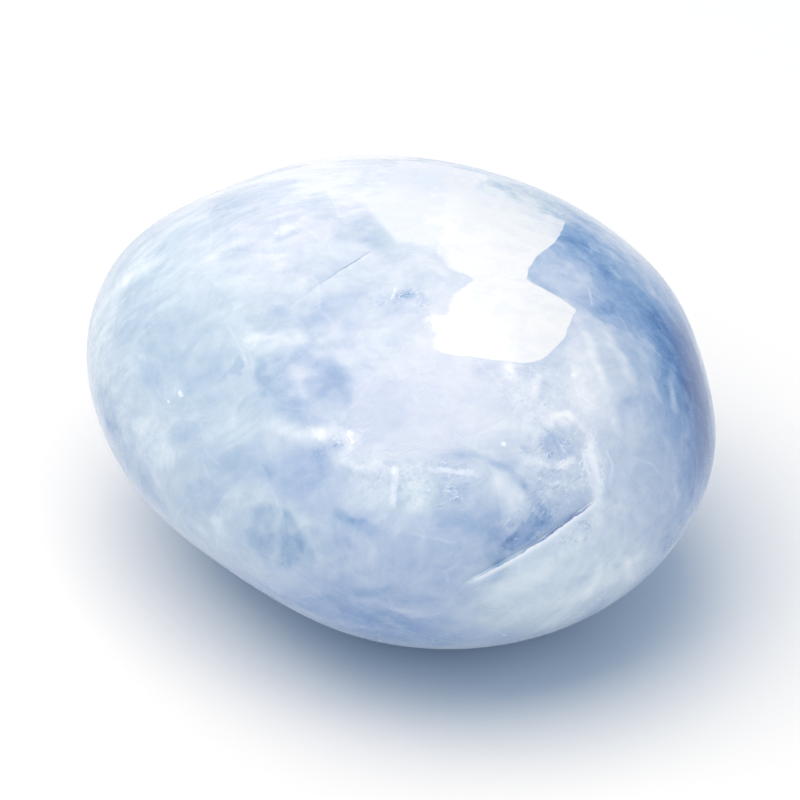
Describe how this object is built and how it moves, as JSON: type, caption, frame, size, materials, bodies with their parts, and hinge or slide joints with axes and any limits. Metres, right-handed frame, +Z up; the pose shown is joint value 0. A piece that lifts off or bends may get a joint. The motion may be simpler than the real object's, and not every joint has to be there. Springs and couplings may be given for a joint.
{
  "type": "blue calcite palm stone",
  "caption": "Plump egg-shaped palm stone of tumbled and polished pale blue calcite, lying on its flatter side, with fine cleavage cracks at the skin.",
  "frame": {"origin": "on the surface that the stone rests on, under the middle of its box", "axes": "+X along the stone's length towards its blunt end, +Y across its width, +Z up"},
  "size_m": [0.062, 0.0518, 0.0366],
  "materials": {
    "polished_calcite": "tumbled and polished, cloudy pale blue with white veils, veins and deeper blue patches"
  },
  "bodies": {
    "root": {"stone": "polished_calcite"}
  },
  "joints": []
}
